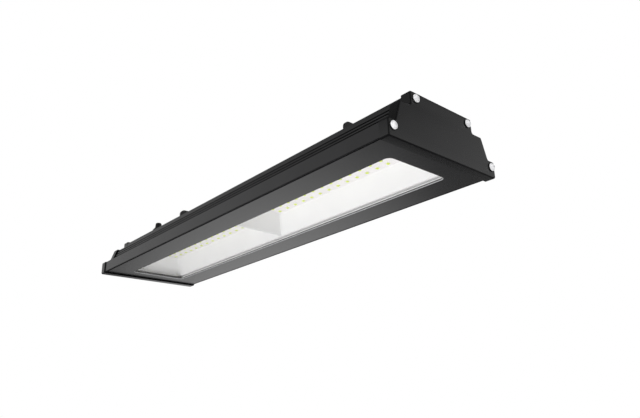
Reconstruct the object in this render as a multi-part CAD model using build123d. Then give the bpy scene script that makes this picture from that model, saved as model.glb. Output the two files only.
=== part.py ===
from build123d import *
import math
import os

# A slim linear high bay light. X runs along the lamp, Y across it and Z up. The origin is under the
# middle of the lamp, in the plane of the end caps' lower edges. All sizes are in millimetres.

# Lamp as a whole
LENGTH = 600.0            # over the two end caps
CAP_DEPTH = 11.0          # end cap along the lamp
FOOT = 2.0                # how far the caps reach below the body

# Body section: half widths from the middle, heights where they start
BODY_HALF = 76.0          # outer face of the side walls
SIDE_HEIGHT = 14.9        # side wall, from the body's lower edge
WALL = 2.2                # extruded shell
FLANK_IN = 10.0           # flank's ribs at the foot, in from the side wall's face
FLANK_LEAN = 7.4          # how far the flank leans in on its way up to the shoulder
SHOULDER_DROP = 5.2       # shoulder below the top of the cooling plate
CROWN_HALF = 48.0         # where the shoulder meets the cooling plate
PLATE_THICKNESS = 3.0     # cooling plate that carries the boards
LIP_BEVEL = 0.6           # lower outer edge of the side wall
LIP_TAPER = 1.4           # lower inner edge of the side wall, beside the shadow gap

# Fins and top channels
FIN = 1.6                 # thickness of the outer fins
FIN_HEIGHT = 8.6          # fins above the cooling plate
OUTER_FIN_HALF = 45.0     # outer face of the outermost fin
SIDE_GROOVE = 1.6         # depth of the groove behind the side wall's top
FLANK_RIBS = 4            # from the shoulder down
FLANK_RIB = 1.5           # thickness of a flank rib
FLANK_RIB_DEPTH = 2.2
FLANK_RIB_PITCH = 4.0
DUCT_HALF = 31.0          # outer face of the wiring duct's hollow
DUCT_HEIGHT = 3.1         # hollow of the wiring duct
DUCT_ROOF = 2.5
RIB = 1.4                 # short ribs on the duct
RIB_PITCH = 4.5
SLOT_HALF = 3.3           # mouth of the hanging channel
SLOT_ROOM_HALF = 5.6      # inside of the hanging channel
SLOT_WALL = 2.0
SLOT_LIP = 2.0
SLOT_FLOOR = 1.6

# Inner webs with feet for the reflectors
WEB_HALF = 42.6           # inner face of the web
WEB = 1.8
WEB_FOOT = 3.0            # foot's thickness
WIRE_HOLE_R = 3.0
WIRE_HOLE_FROM_END = 4.5

# Ledges and the front frame
LEDGE = 4.2               # ledge's reach from the side wall
LEDGE_THICKNESS = 2.0
FRAME_THICKNESS = 2.0
FRAME_GAP = 0.7           # shadow gap between the frame and the side walls
TAPE = 0.5                # adhesive strip between frame and ledge
TAPE_WIDTH = 3.0
TAPE_END = 14.0           # bare ledge at each end of the strip
WINDOW_HALF_LENGTH = 266.0
WINDOW_HALF_WIDTH = 40.5
WINDOW_CORNER = 5.5
WINDOW_BEVEL = 0.6

# Glass and its seal
GLASS_THICKNESS = 3.0
GLASS_LAP = 4.0           # glass past the window's long edges
GLASS_END_LAP = 12.5      # glass past the window's short edges
GLASS_CORNER = 4.0
SEAL_LIP = 1.0            # seal above and below the glass
SEAL_SIDE = 1.8           # seal round the glass
SEAL_INSET = 0.3          # seal's lips back from the window's edge

# Reflector trays
TRAY_SHEET = 1.0
TRAY_DEPTH = 29.0         # rim's lower face to the boards
TRAY_MOUTH_HALF = 40.0    # inside, at the rim
TRAY_THROAT_HALF = 36.0   # inside, at the board
TRAY_END = 276.0          # inside of the end wall at the rim, from the lamp's middle
TRAY_END_TAPER = 3.0
DIVIDER_HALF = 1.6        # inside of the divider wall at the rim, from the lamp's middle
DIVIDER_TAPER = 0.5
TRAY_CORNER = 3.0
TRAY_GAP = 0.3            # half of the gap between the two trays
RIM_END = 6.5             # rim past the tray's end wall

# Boards and diodes
BOARD_THICKNESS = 1.6
PAD_THICKNESS = 0.4
BOARD_CLEARANCE = 0.4     # board to web
BOARD_MARGIN = 1.2        # board past the tray's inside at the divider
DIODE_SIDE = 3.5
DIODE_HEIGHT = 0.7
DIODE_ROWS = 6
DIODE_ROW_PITCH = 11.8
DIODE_COLUMNS = 17
DIODE_PITCH = 15.94
DIODE_START = 11.0        # first column from the lamp's middle

# End caps: the section is worked out from the body's
CAP_SIDE = 1.3            # cap past the side walls
CAP_TOP = 3.4             # cap above the fins
CAP_LUG_RISE = 0.9        # cap above the side walls
CAP_FLANK_IN = 8.5        # foot of the cap's sloping flank, in from the side wall
CAP_FLANK_LEAN = 7.5      # the flank's lean
CAP_SHOULDER_RISE = 2.2   # cap above the shoulder
CAP_CROWN_OUT = 0.3       # cap past the outermost fin
CAP_EDGE = 1.5            # rounding of the cap's outer edges
CAP_CORNER = 2.2
CAP_WALL = 2.8
CAP_POCKET = 6.5          # depth of the cap's hollow behind the gasket
CAP_BOSS_R = 5.0
GASKET = 1.5
GASKET_INSET = 2.2

# Cap screws, on the screw channels of the body
SCREW_R = 2.0
SCREW_HEAD_R = 4.0
SCREW_HEAD = 2.7
SCREW_HEAD_EDGE = 0.9
SCREW_GRIP = 14.0         # screw inside the body
SCREW_SOCKET_R = 1.6
SCREW_SOCKET = 1.4
WASHER_R = 4.6
WASHER = 0.8
LOW_SCREW_IN = 4.8        # lower screws, in from the side wall's face
LOW_SCREW_UP = 8.8        # lower screws, above the body's lower edge
HIGH_SCREW_HALF = 38.3
PORT_WALL = 1.4           # wall of a screw channel
PORT_SLIT = 1.2           # open side of a screw channel

# Clearances
FIT = 0.05                # screw in its hole, on the radius
SLIP = 0.1                # a loose piece in its seat

# Small screws
M3_R = 1.5
M3_HEAD_R = 2.75
M3_HEAD = 1.8
BOARD_SCREW_R = 1.25
BOARD_SCREW_HEAD_R = 2.2
BOARD_SCREW_HEAD = 1.6
BOARD_SCREW_GRIP = 2.4
BOARD_SCREW_IN = 2.1      # from the board's long edge
TRAY_SCREW_COUNT = 2      # along each side of a tray
TRAY_SCREW_MARGIN = 48.0

# Drivers and terminal block
DRIVER_LENGTH = 240.0
DRIVER_WIDTH = 13.0
DRIVER_HEIGHT = 12.0
DRIVER_SHIFT = 60.0       # drivers off the lamp's middle
DRIVER_EAR = 10.0
DRIVER_EAR_THICKNESS = 2.0
DRIVER_CORNER = 1.5
TERMINAL_POLES = 3
TERMINAL_PITCH = 8.0
TERMINAL_WIDTH = 12.0
TERMINAL_HEIGHT = 10.0
TERMINAL_AT = 212.0       # from the lamp's middle, towards the far end

# Hangers
HANGER_AT = 180.0         # middle of the upright plate, from the lamp's middle
HANGER_SHEET = 3.0
HANGER_WIDTH = 26.0
HANGER_TOP = 85.0         # above the caps' lower edges
HANGER_CORNER = 7.0
HANGER_BEND = 2.0         # inside radius of the bend
HANGER_FOOT = 28.0
EYE_R = 6.0
EYE_DROP = 12.0           # eye's centre below the hanger's top
BOLT_R = 3.0
BOLT_HEAD_R = 5.4         # across the head's corners
BOLT_HEAD = 4.0
BOLT_WASHER_R = 6.2
BOLT_WASHER = 1.2
NUT_LENGTH = 14.0
NUT_THICKNESS = 4.0

# Cable gland
GLAND_AT = (-235.0, -20.0)
GLAND_SEAT_R = 11.5       # flat milled into the ribs
GLAND_THREAD_R = 6.0
GLAND_THREAD = 4.6
GLAND_HEX_R = 10.2        # across corners
GLAND_HEX = 5.0
GLAND_WASHER_R = 8.4
GLAND_WASHER = 1.0
GLAND_SPIGOT_R = 6.2
GLAND_SPIGOT = 8.0
GLAND_NUT_HEX = 8.5
GLAND_NUT_GAP = 0.4
GLAND_DOME = 5.5
GLAND_NECK_R = 4.35
GLAND_TOP = 76.5          # above the caps' lower edges
CABLE_R = 3.1             # cable that the gland takes
GLAND_SEAL_R = 4.7
GLAND_SEAL = 9.0

# Heights, from the caps' lower edges up
frame_top = FOOT + FRAME_THICKNESS
glass_bottom = frame_top + SEAL_LIP
glass_top = glass_bottom + GLASS_THICKNESS
rim_bottom = glass_top + SEAL_LIP
rim_top = rim_bottom + TRAY_SHEET
foot_top = rim_top + WEB_FOOT
board_face = rim_bottom + TRAY_DEPTH
plate_bottom = board_face + BOARD_THICKNESS + PAD_THICKNESS
plate_top = plate_bottom + PLATE_THICKNESS
fin_top = plate_top + FIN_HEIGHT
side_top = FOOT + SIDE_HEIGHT
shoulder = plate_top - SHOULDER_DROP
roof_bottom = plate_top + DUCT_HEIGHT
roof_top = roof_bottom + DUCT_ROOF
ledge_bottom = frame_top + TAPE
cap_top = fin_top + CAP_TOP

# Places along and across the lamp
body_end = LENGTH / 2 - CAP_DEPTH
side_inner = BODY_HALF - WALL
seal_half_width = WINDOW_HALF_WIDTH + GLASS_LAP + SEAL_SIDE
seal_half_length = WINDOW_HALF_LENGTH + GLASS_END_LAP + SEAL_SIDE
tray_screw_half = seal_half_width + M3_HEAD_R + 2 * SLIP
foot_half = tray_screw_half + M3_HEAD_R
board_half = WEB_HALF - BOARD_CLEARANCE
board_start = DIVIDER_HALF - BOARD_MARGIN
board_end = TRAY_END
low_screw = (BODY_HALF - LOW_SCREW_IN, FOOT + LOW_SCREW_UP)
high_screw = (HIGH_SCREW_HALF, fin_top - SCREW_R - PORT_WALL)
port_r = SCREW_R + PORT_WALL
screw_places = [(side * y, z) for y, z in (low_screw, high_screw) for side in (-1, 1)]


def patch(y0, y1, z0, z1):
    """A rectangle in the lamp's cross-section, by its four sides."""
    return Pos((y0 + y1) / 2, (z0 + z1) / 2) * Rectangle(y1 - y0, z1 - z0)


def pair(shape):
    """A shape of the cross-section and its image on the lamp's other side."""
    return shape + mirror(shape, about=Plane.YZ)


def outline(half):
    """A closed face from the right-hand half of a cross-section, first and last point on the middle."""
    left = [(-y, z) for y, z in reversed(half) if y > 0]
    return make_face(Polyline(*half, *left, close=True))


def along(section, x0, x1):
    """The cross-section run along the lamp from x0 to x1."""
    return extrude(Plane.YZ.offset(x0) * section, amount=x1 - x0)


def slab(x0, x1, y0, y1, z0, z1):
    """A plain block, by its six sides."""
    return Pos((x0 + x1) / 2, (y0 + y1) / 2, (z0 + z1) / 2) * Box(x1 - x0, y1 - y0, z1 - z0)


def rounded_slab(half_x, half_y, radius, z0, z1):
    """A flat plate about the middle, with rounded corners."""
    face = RectangleRounded(2 * half_x, 2 * half_y, radius)
    return extrude(Plane.XY.offset(z0) * face, amount=z1 - z0)


def post(x, y, z0, z1, radius):
    """An upright cylinder."""
    return Pos(x, y, (z0 + z1) / 2) * Cylinder(radius, z1 - z0)


def rod(x0, x1, y, z, radius):
    """A cylinder that lies along the lamp."""
    return Pos((x0 + x1) / 2, y, z) * Rot(0, 90, 0) * Cylinder(radius, x1 - x0)


def far(shape):
    """The same piece at the lamp's other end."""
    return mirror(shape, about=Plane.YZ)


def tray_screw_xs():
    """Places along the lamp of the near tray's screws."""
    first = TRAY_SCREW_MARGIN
    step = (TRAY_END - 2 * TRAY_SCREW_MARGIN) / (TRAY_SCREW_COUNT - 1)
    return [first + step * i for i in range(TRAY_SCREW_COUNT)]


def driver_ends():
    """Ends of the driver that lies on the right, with its ears left out."""
    return DRIVER_SHIFT - DRIVER_LENGTH / 2, DRIVER_SHIFT + DRIVER_LENGTH / 2


def driver_screw_places():
    """Screws through the ears of both drivers, as x and y."""
    low, high = driver_ends()
    y = WEB_HALF + WEB + DRIVER_EAR_THICKNESS + M3_HEAD_R
    xs = (low - DRIVER_EAR / 2, high + DRIVER_EAR / 2)
    return [(side * x, side * y) for side in (-1, 1) for x in xs]


# Housing: one extrusion, then drilled and milled

def flank_tip(z):
    """Half width of the body at the tips of the flank's ribs, at a height."""
    rise = (z - side_top) / (shoulder - side_top)
    return BODY_HALF - FLANK_IN - FLANK_LEAN * rise


def flank_ribs():
    """Cooling ribs that stand out of the right-hand flank, the first level with the shoulder."""
    found = []
    for i in range(FLANK_RIBS):
        top = shoulder - i * FLANK_RIB_PITCH
        tip = flank_tip(top - FLANK_RIB / 2)
        found.append(patch(tip - FLANK_RIB_DEPTH - WALL / 2, tip, top - FLANK_RIB, top))
    return found


def shell_section():
    """Side walls, ribbed flanks, shoulders and crown of the extrusion, open below."""
    step = side_top - SIDE_GROOVE
    envelope = outline([
        (0, FOOT),
        (BODY_HALF, FOOT),
        (BODY_HALF, step),
        (flank_tip(step) - FLANK_RIB_DEPTH, step),
        (flank_tip(shoulder) - FLANK_RIB_DEPTH, shoulder),
        (CROWN_HALF, plate_top),
        (0, plate_top),
    ])
    hollow = offset(envelope, amount=-WALL, kind=Kind.INTERSECTION)
    mouth = patch(-side_inner, side_inner, FOOT - WALL, FOOT + 2 * WALL)
    side_lip = patch(BODY_HALF - FIN, BODY_HALF, step - WALL, side_top)
    section = envelope - hollow - mouth + pair(side_lip)
    for rib in flank_ribs():
        section += pair(rib)
    return section


def inner_section():
    """Cooling plate, webs with feet, and ledges for the front frame."""
    plate = patch(-CROWN_HALF, CROWN_HALF, plate_bottom, plate_top)
    web = patch(WEB_HALF, WEB_HALF + WEB, rim_top, plate_top)
    foot = patch(WEB_HALF, foot_half, rim_top, foot_top)
    ledge = patch(side_inner - LEDGE, side_inner, ledge_bottom, ledge_bottom + LEDGE_THICKNESS)
    return plate + pair(web + foot + ledge)


def top_section():
    """Fins, wiring ducts with short ribs, and the hanging channel in the middle."""
    outer_fin = patch(OUTER_FIN_HALF - FIN, OUTER_FIN_HALF, plate_top, fin_top)
    duct_wall = patch(DUCT_HALF, DUCT_HALF + FIN, plate_top, fin_top)
    roof = patch(0, DUCT_HALF, roof_bottom, roof_top)
    channel = patch(0, SLOT_ROOM_HALF + SLOT_WALL, plate_top, fin_top)
    half = outer_fin + duct_wall + roof + channel
    first = SLOT_ROOM_HALF + SLOT_WALL + RIB_PITCH - RIB
    for i in range(int((DUCT_HALF - first) / RIB_PITCH)):
        half += patch(first + i * RIB_PITCH, first + i * RIB_PITCH + RIB, roof_top, fin_top)
    room = patch(-SLOT_ROOM_HALF, SLOT_ROOM_HALF, plate_top + SLOT_FLOOR, fin_top - SLOT_LIP)
    mouth = patch(-SLOT_HALF, SLOT_HALF, plate_top + SLOT_FLOOR, fin_top + SLOT_LIP)
    return pair(half) - room - mouth


def ports_section():
    """Round screw channels that the cap screws bite into, without their holes."""
    low = Pos(*low_screw) * Circle(port_r) + patch(low_screw[0], side_inner, low_screw[1] - PORT_WALL,
                                                   low_screw[1] + PORT_WALL)
    high = Pos(*high_screw) * Circle(port_r) + patch(high_screw[0] - PORT_WALL, high_screw[0] + PORT_WALL,
                                                     plate_top, high_screw[1])
    return pair(low + high)


def port_holes():
    """Holes of the screw channels, each with the slit that an extruded channel has."""
    radius = SCREW_R + FIT
    low_slit = patch(low_screw[0] - 2 * port_r, low_screw[0], low_screw[1] - PORT_SLIT / 2,
                     low_screw[1] + PORT_SLIT / 2)
    high_slit = patch(high_screw[0] - PORT_SLIT / 2, high_screw[0] + PORT_SLIT / 2, high_screw[1],
                      fin_top + port_r)
    low = Pos(*low_screw) * Circle(radius) + low_slit
    high = Pos(*high_screw) * Circle(radius) + high_slit
    return pair(low + high)


def edge_bevels():
    """Corners cut off the lower edge of each side wall, outside and inside."""
    outer = make_face(Polyline((BODY_HALF, FOOT), (BODY_HALF, FOOT + LIP_BEVEL),
                               (BODY_HALF - LIP_BEVEL, FOOT), close=True))
    inner = make_face(Polyline((side_inner, FOOT), (side_inner + LIP_TAPER, FOOT),
                               (side_inner, FOOT + LIP_TAPER), close=True))
    return pair(outer + inner)


def housing():
    """The extruded body with its drilled and milled places."""
    section = shell_section() + inner_section() + top_section() + ports_section()
    section = section - port_holes() - edge_bevels()
    body = along(section, -body_end, body_end)
    gland_x, gland_y = GLAND_AT
    body -= post(gland_x, gland_y, roof_top, fin_top + FIN, GLAND_SEAT_R)
    body -= post(gland_x, gland_y, plate_top, roof_top + FIN, GLAND_THREAD_R + FIT)
    wire_x = body_end - WIRE_HOLE_FROM_END
    wire_z = (foot_top + plate_bottom) / 2
    duct_y = (SLOT_ROOM_HALF + SLOT_WALL + DUCT_HALF) / 2
    for end in (-1, 1):
        body -= Pos(end * wire_x, 0, wire_z) * Rot(90, 0, 0) * Cylinder(WIRE_HOLE_R, 2 * CROWN_HALF)
        for side in (-1, 1):
            body -= post(end * wire_x, side * duct_y, plate_bottom - FIN, plate_top + FIN, WIRE_HOLE_R)
    for x, y in driver_screw_places():
        body -= post(x, y, rim_top, foot_top, M3_R + FIT)
    for x in tray_screw_xs():
        for end in (-1, 1):
            for side in (-1, 1):
                body -= post(end * x, side * tray_screw_half, rim_top, foot_top, M3_R + FIT)
                body -= post(end * x, side * (board_half - BOARD_SCREW_IN), plate_bottom,
                             plate_bottom + BOARD_SCREW_GRIP, BOARD_SCREW_R + FIT)
    return body


# Front frame, its adhesive, the glass and its seal

def front_frame():
    """Flat front plate with the long window, bevelled round the opening."""
    plate = slab(-body_end, body_end, -(side_inner - FRAME_GAP), side_inner - FRAME_GAP, FOOT, frame_top)
    plate -= rounded_slab(WINDOW_HALF_LENGTH, WINDOW_HALF_WIDTH, WINDOW_CORNER, FOOT - 1, frame_top + 1)
    lower = plate.faces().sort_by(Axis.Z)[0]
    return chamfer(lower.inner_wires().edges(), WINDOW_BEVEL)


def frame_strip(side):
    """Adhesive strip between the frame and one ledge."""
    outer = side_inner - FRAME_GAP
    ys = sorted((side * outer, side * (outer - TAPE_WIDTH)))
    return slab(-body_end + TAPE_END, body_end - TAPE_END, ys[0], ys[1], frame_top, ledge_bottom)


def window_glass():
    """Toughened glass behind the window."""
    return rounded_slab(WINDOW_HALF_LENGTH + GLASS_END_LAP, WINDOW_HALF_WIDTH + GLASS_LAP, GLASS_CORNER,
                        glass_bottom, glass_top)


def window_seal():
    """Silicone channel that wraps the edge of the glass."""
    ring = rounded_slab(seal_half_length, seal_half_width, GLASS_CORNER + SEAL_SIDE, frame_top, rim_bottom)
    ring -= rounded_slab(WINDOW_HALF_LENGTH + GLASS_END_LAP - GLASS_LAP + SEAL_INSET,
                         WINDOW_HALF_WIDTH + SEAL_INSET, WINDOW_CORNER, frame_top - 1, rim_bottom + 1)
    return ring - window_glass()


# Reflector trays and what shines into them

def tray_hull(grow, z0, z1):
    """Tapered block between the rim and the board, grown outwards by a sheet's thickness."""
    def ring(x0, x1, half, z):
        face = RectangleRounded(x1 - x0 + 2 * grow, 2 * (half + grow), TRAY_CORNER + grow)
        return Plane.XY.offset(z) * Pos((x0 + x1) / 2, 0) * face
    mouth = ring(DIVIDER_HALF, TRAY_END, TRAY_MOUTH_HALF, z0)
    throat = ring(DIVIDER_HALF + DIVIDER_TAPER, TRAY_END - TRAY_END_TAPER, TRAY_THROAT_HALF, z1)
    return loft([mouth, throat])


def reflector():
    """The near reflector: a deep tapered tray with a flat rim, open at the board and the glass."""
    walls = tray_hull(TRAY_SHEET, rim_bottom, board_face)
    rim = slab(TRAY_GAP, TRAY_END + RIM_END, -foot_half, foot_half, rim_bottom, rim_top)
    tray = walls + rim - tray_hull(0, rim_bottom, board_face)
    tray &= slab(TRAY_GAP, body_end, -CROWN_HALF - foot_half, CROWN_HALF + foot_half, rim_bottom, board_face)
    for x in tray_screw_xs():
        for side in (-1, 1):
            tray -= post(x, side * tray_screw_half, rim_bottom - 1, rim_top + 1, M3_R + SLIP)
    return tray


def board_plate(z0, z1):
    """Sheet of the near board's outline, drilled for the board screws."""
    plate = slab(board_start, board_end, -board_half, board_half, z0, z1)
    for x in tray_screw_xs():
        for side in (-1, 1):
            plate -= post(x, side * (board_half - BOARD_SCREW_IN), z0 - 1, z1 + 1, BOARD_SCREW_R + SLIP)
    return plate


def diodes():
    """The near board's diodes, row by row."""
    found = []
    for column in range(DIODE_COLUMNS):
        x = DIODE_START + column * DIODE_PITCH
        for row in range(DIODE_ROWS):
            y = (row - (DIODE_ROWS - 1) / 2) * DIODE_ROW_PITCH
            found.append(Pos(x, y, board_face - DIODE_HEIGHT / 2) * Box(DIODE_SIDE, DIODE_SIDE, DIODE_HEIGHT))
    return Compound(found)


def upward_screw(x, y, seat, grip, radius, head_r, head):
    """A pan-head screw driven upwards, with its head below the seat."""
    crown = post(x, y, seat - head, seat, head_r)
    crown = chamfer(crown.edges().sort_by(Axis.Z)[0], head / 2)
    return crown + post(x, y, seat, seat + grip, radius)


def board_screws():
    """Screws that hold both boards to the cooling plate."""
    grip = BOARD_THICKNESS + PAD_THICKNESS + BOARD_SCREW_GRIP - FIT
    y = board_half - BOARD_SCREW_IN
    return Compound([upward_screw(end * x, side * y, board_face, grip, BOARD_SCREW_R, BOARD_SCREW_HEAD_R,
                                  BOARD_SCREW_HEAD)
                     for x in tray_screw_xs() for end in (-1, 1) for side in (-1, 1)])


def reflector_screws():
    """Screws that hold the trays' rims under the feet of the webs."""
    grip = TRAY_SHEET + WEB_FOOT - 2 * FIT
    return Compound([upward_screw(end * x, side * tray_screw_half, rim_bottom, grip, M3_R, M3_HEAD_R, M3_HEAD)
                     for x in tray_screw_xs() for end in (-1, 1) for side in (-1, 1)])


# Drivers and terminal block in the side channels

def driver():
    """The right-hand driver: a potted case with a fixing ear at each end."""
    low, high = driver_ends()
    y0 = WEB_HALF + WEB
    case = slab(low, high, y0, y0 + DRIVER_WIDTH, foot_top, foot_top + DRIVER_HEIGHT)
    case = fillet(case.edges().filter_by(Axis.X).group_by(Axis.Z)[-1], DRIVER_CORNER)
    ear = slab(low - DRIVER_EAR, high + DRIVER_EAR, y0, foot_half, foot_top, foot_top + DRIVER_EAR_THICKNESS)
    case += ear
    for x, y in driver_screw_places()[2:]:
        case -= post(x, y, foot_top - 1, foot_top + DRIVER_EAR_THICKNESS + 1, M3_R + SLIP)
    return case


def driver_screws():
    """Screws through the drivers' ears into the feet of the webs."""
    seat = foot_top + DRIVER_EAR_THICKNESS
    found = []
    for x, y in driver_screw_places():
        head = post(x, y, seat, seat + M3_HEAD, M3_HEAD_R)
        head = chamfer(head.edges().sort_by(Axis.Z)[-1], M3_HEAD / 2)
        found.append(head + post(x, y, rim_top + FIT, seat, M3_R))
    return Compound(found)


def terminal_block():
    """Three-pole terminal block on the foot of a web, with its wire ways and screw wells."""
    y0 = -(WEB_HALF + WEB) - TERMINAL_WIDTH
    length = TERMINAL_POLES * TERMINAL_PITCH
    x0 = -TERMINAL_AT - length / 2
    block = slab(x0, x0 + length, y0, y0 + TERMINAL_WIDTH, foot_top, foot_top + TERMINAL_HEIGHT)
    for pole in range(TERMINAL_POLES):
        x = x0 + (pole + 0.5) * TERMINAL_PITCH
        way = Pos(x, y0 + TERMINAL_WIDTH / 2, foot_top + TERMINAL_HEIGHT * 0.35) * Rot(90, 0, 0)
        block -= way * Cylinder(TERMINAL_PITCH * 0.25, TERMINAL_WIDTH + 2)
        block -= post(x, y0 + TERMINAL_WIDTH / 2, foot_top + TERMINAL_HEIGHT / 2,
                      foot_top + TERMINAL_HEIGHT + 1, TERMINAL_PITCH * 0.3)
    return block


# End caps with gaskets, screws and washers

def cap_section():
    """Outline of the end cap, with its corners rounded."""
    crown = OUTER_FIN_HALF + CAP_CROWN_OUT
    flank_foot = BODY_HALF - CAP_FLANK_IN
    face = outline([
        (0, 0),
        (BODY_HALF + CAP_SIDE, 0),
        (BODY_HALF + CAP_SIDE, side_top + CAP_LUG_RISE),
        (flank_foot, side_top + CAP_LUG_RISE),
        (flank_foot - CAP_FLANK_LEAN, shoulder + CAP_SHOULDER_RISE),
        (crown, shoulder + CAP_SHOULDER_RISE),
        (crown, cap_top),
        (0, cap_top),
    ])
    corners = [v for v in face.vertices() if abs(v.X) > CAP_EDGE]
    return fillet(corners, CAP_CORNER)


def end_cap():
    """The near end cap: cast, rounded outside, hollow behind, with a boss round each screw."""
    section = cap_section()
    cap = along(section, body_end, LENGTH / 2)
    cap = fillet(cap.faces().sort_by(Axis.X)[-1].outer_wire().edges(), CAP_EDGE)
    recess = offset(section, amount=-GASKET_INSET, kind=Kind.INTERSECTION)
    cap -= along(recess, body_end, body_end + GASKET)
    hollow = offset(section, amount=-GASKET_INSET - CAP_WALL, kind=Kind.INTERSECTION)
    for y, z in screw_places:
        hollow -= Pos(y, z) * Circle(CAP_BOSS_R)
    pocket = hollow.faces().sort_by(SortBy.AREA)[-1]
    cap -= along(pocket, body_end + GASKET, body_end + GASKET + CAP_POCKET)
    for y, z in screw_places:
        cap -= rod(body_end - 1, LENGTH / 2 + 1, y, z, SCREW_R + 2 * SLIP)
    return cap


def end_gasket():
    """Flat gasket in the near cap's recess."""
    face = offset(cap_section(), amount=-GASKET_INSET - SLIP, kind=Kind.INTERSECTION)
    sheet = along(face, body_end, body_end + GASKET)
    for y, z in screw_places:
        sheet -= rod(body_end - 1, body_end + GASKET + 1, y, z, SCREW_R + SLIP)
    return sheet


def cap_screws():
    """The near cap's four pan-head screws, each with a hexagon socket."""
    seat = LENGTH / 2 + WASHER
    found = []
    for y, z in screw_places:
        head = rod(seat, seat + SCREW_HEAD, y, z, SCREW_HEAD_R)
        head = chamfer(head.edges().sort_by(Axis.X)[-1], SCREW_HEAD_EDGE)
        socket = Plane.YZ.offset(seat + SCREW_HEAD) * Pos(y, z) * RegularPolygon(SCREW_SOCKET_R, 6)
        head -= extrude(socket, amount=-SCREW_SOCKET)
        found.append(head + rod(body_end - SCREW_GRIP, seat, y, z, SCREW_R))
    return Compound(found)


def cap_washers():
    """Sealing washers under the near cap's screw heads."""
    found = []
    for y, z in screw_places:
        ring = rod(LENGTH / 2, LENGTH / 2 + WASHER, y, z, WASHER_R)
        found.append(ring - rod(LENGTH / 2 - 1, LENGTH / 2 + WASHER + 1, y, z, SCREW_R + SLIP))
    return Compound(found)


# Hangers with bolts, washers and sliding nuts

hanger_bolt_x = HANGER_AT - HANGER_FOOT / 2


def hanger():
    """The near hanger: a bent plate with a foot on the fins and an eye above it."""
    outer_x = HANGER_AT + HANGER_SHEET / 2
    inner_x = HANGER_AT - HANGER_SHEET / 2
    toe = HANGER_AT - HANGER_FOOT
    foot_top_z = fin_top + HANGER_SHEET
    side = make_face(Polyline((toe, fin_top), (outer_x, fin_top), (outer_x, HANGER_TOP),
                              (inner_x, HANGER_TOP), (inner_x, foot_top_z), (toe, foot_top_z), close=True))
    heel = side.vertices().filter_by(lambda v: v.X > HANGER_AT and v.Y < foot_top_z)
    side = fillet(heel, HANGER_BEND + HANGER_SHEET)
    crook = side.vertices().filter_by(lambda v: abs(v.X - inner_x) < SLIP and v.Y < HANGER_TOP - SLIP)
    side = fillet(crook, HANGER_BEND)
    plate = extrude(Plane.XZ * side, amount=HANGER_WIDTH / 2, both=True)
    plate = fillet(plate.edges().filter_by(Axis.X).group_by(Axis.Z)[-1], HANGER_CORNER)
    toes = plate.edges().filter_by(Axis.Z).filter_by(lambda e: e.center().X < hanger_bolt_x)
    plate = fillet(toes, HANGER_CORNER / 2)
    plate -= rod(HANGER_AT - HANGER_SHEET, HANGER_AT + HANGER_SHEET, 0, HANGER_TOP - EYE_DROP, EYE_R)
    return plate - post(hanger_bolt_x, 0, fin_top - 1, foot_top_z + 1, BOLT_R + SLIP)


def hanger_bolt():
    """Hexagon bolt through the near hanger's foot."""
    seat = fin_top + HANGER_SHEET + BOLT_WASHER
    head = Plane.XY.offset(seat) * Pos(hanger_bolt_x, 0) * RegularPolygon(BOLT_HEAD_R, 6)
    head = extrude(head, amount=BOLT_HEAD)
    head &= Pos(hanger_bolt_x, 0, seat) * revolved_dome(BOLT_HEAD_R, BOLT_HEAD)
    return head + post(hanger_bolt_x, 0, nut_bottom, seat, BOLT_R)


def revolved_dome(radius, height):
    """A short cylinder with a bevelled top, for turning a hexagon's corners."""
    half = Polyline((0, 0), (radius, 0), (radius, height * 0.75), (radius * 0.8, height), (0, height),
                    close=True)
    return revolve(Plane.XZ * make_face(half), Axis.Z)


def hanger_washer():
    """Flat washer under the near hanger's bolt."""
    seat = fin_top + HANGER_SHEET
    ring = post(hanger_bolt_x, 0, seat, seat + BOLT_WASHER, BOLT_WASHER_R)
    return ring - post(hanger_bolt_x, 0, seat - 1, seat + BOLT_WASHER + 1, BOLT_R + SLIP)


nut_top = fin_top - SLOT_LIP
nut_bottom = nut_top - NUT_THICKNESS


def hanger_nut():
    """Sliding nut in the hanging channel, under the near hanger."""
    half = SLOT_ROOM_HALF - 2 * SLIP
    block = slab(hanger_bolt_x - NUT_LENGTH / 2, hanger_bolt_x + NUT_LENGTH / 2, -half, half, nut_bottom,
                 nut_top)
    block = chamfer(block.edges().filter_by(Axis.X).group_by(Axis.Z)[0], NUT_THICKNESS / 4)
    return block - post(hanger_bolt_x, 0, nut_bottom - 1, nut_top + 1, BOLT_R + FIT)


# Cable gland

gland_seat = roof_top + GLAND_WASHER
gland_nut_bottom = gland_seat + GLAND_HEX + GLAND_NUT_GAP


def turned(points):
    """A piece turned about the gland's axis from half of its section, as radius and height."""
    half = make_face(Polyline(*points, close=True))
    return Pos(GLAND_AT[0], GLAND_AT[1], 0) * revolve(Plane.XZ * half, Axis.Z)


def hexagon(radius, z0, z1):
    """A hexagonal prism on the gland's axis."""
    face = Plane.XY.offset(z0) * Pos(*GLAND_AT) * RegularPolygon(radius, 6)
    return extrude(face, amount=z1 - z0)


def gland_body():
    """Threaded body with its hexagon, drilled through for the cable and bored out for the seal."""
    x, y = GLAND_AT
    hex_top = gland_seat + GLAND_HEX
    spigot_top = hex_top + GLAND_SPIGOT
    body = hexagon(GLAND_HEX_R, gland_seat, hex_top)
    body += post(x, y, gland_seat - GLAND_THREAD, gland_seat, GLAND_THREAD_R)
    body += post(x, y, hex_top, spigot_top, GLAND_SPIGOT_R)
    body -= post(x, y, gland_seat - GLAND_THREAD - 1, spigot_top + 1, CABLE_R + 4 * SLIP)
    return body - post(x, y, spigot_top - GLAND_SEAL, spigot_top + 1, GLAND_SEAL_R + FIT)


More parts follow.
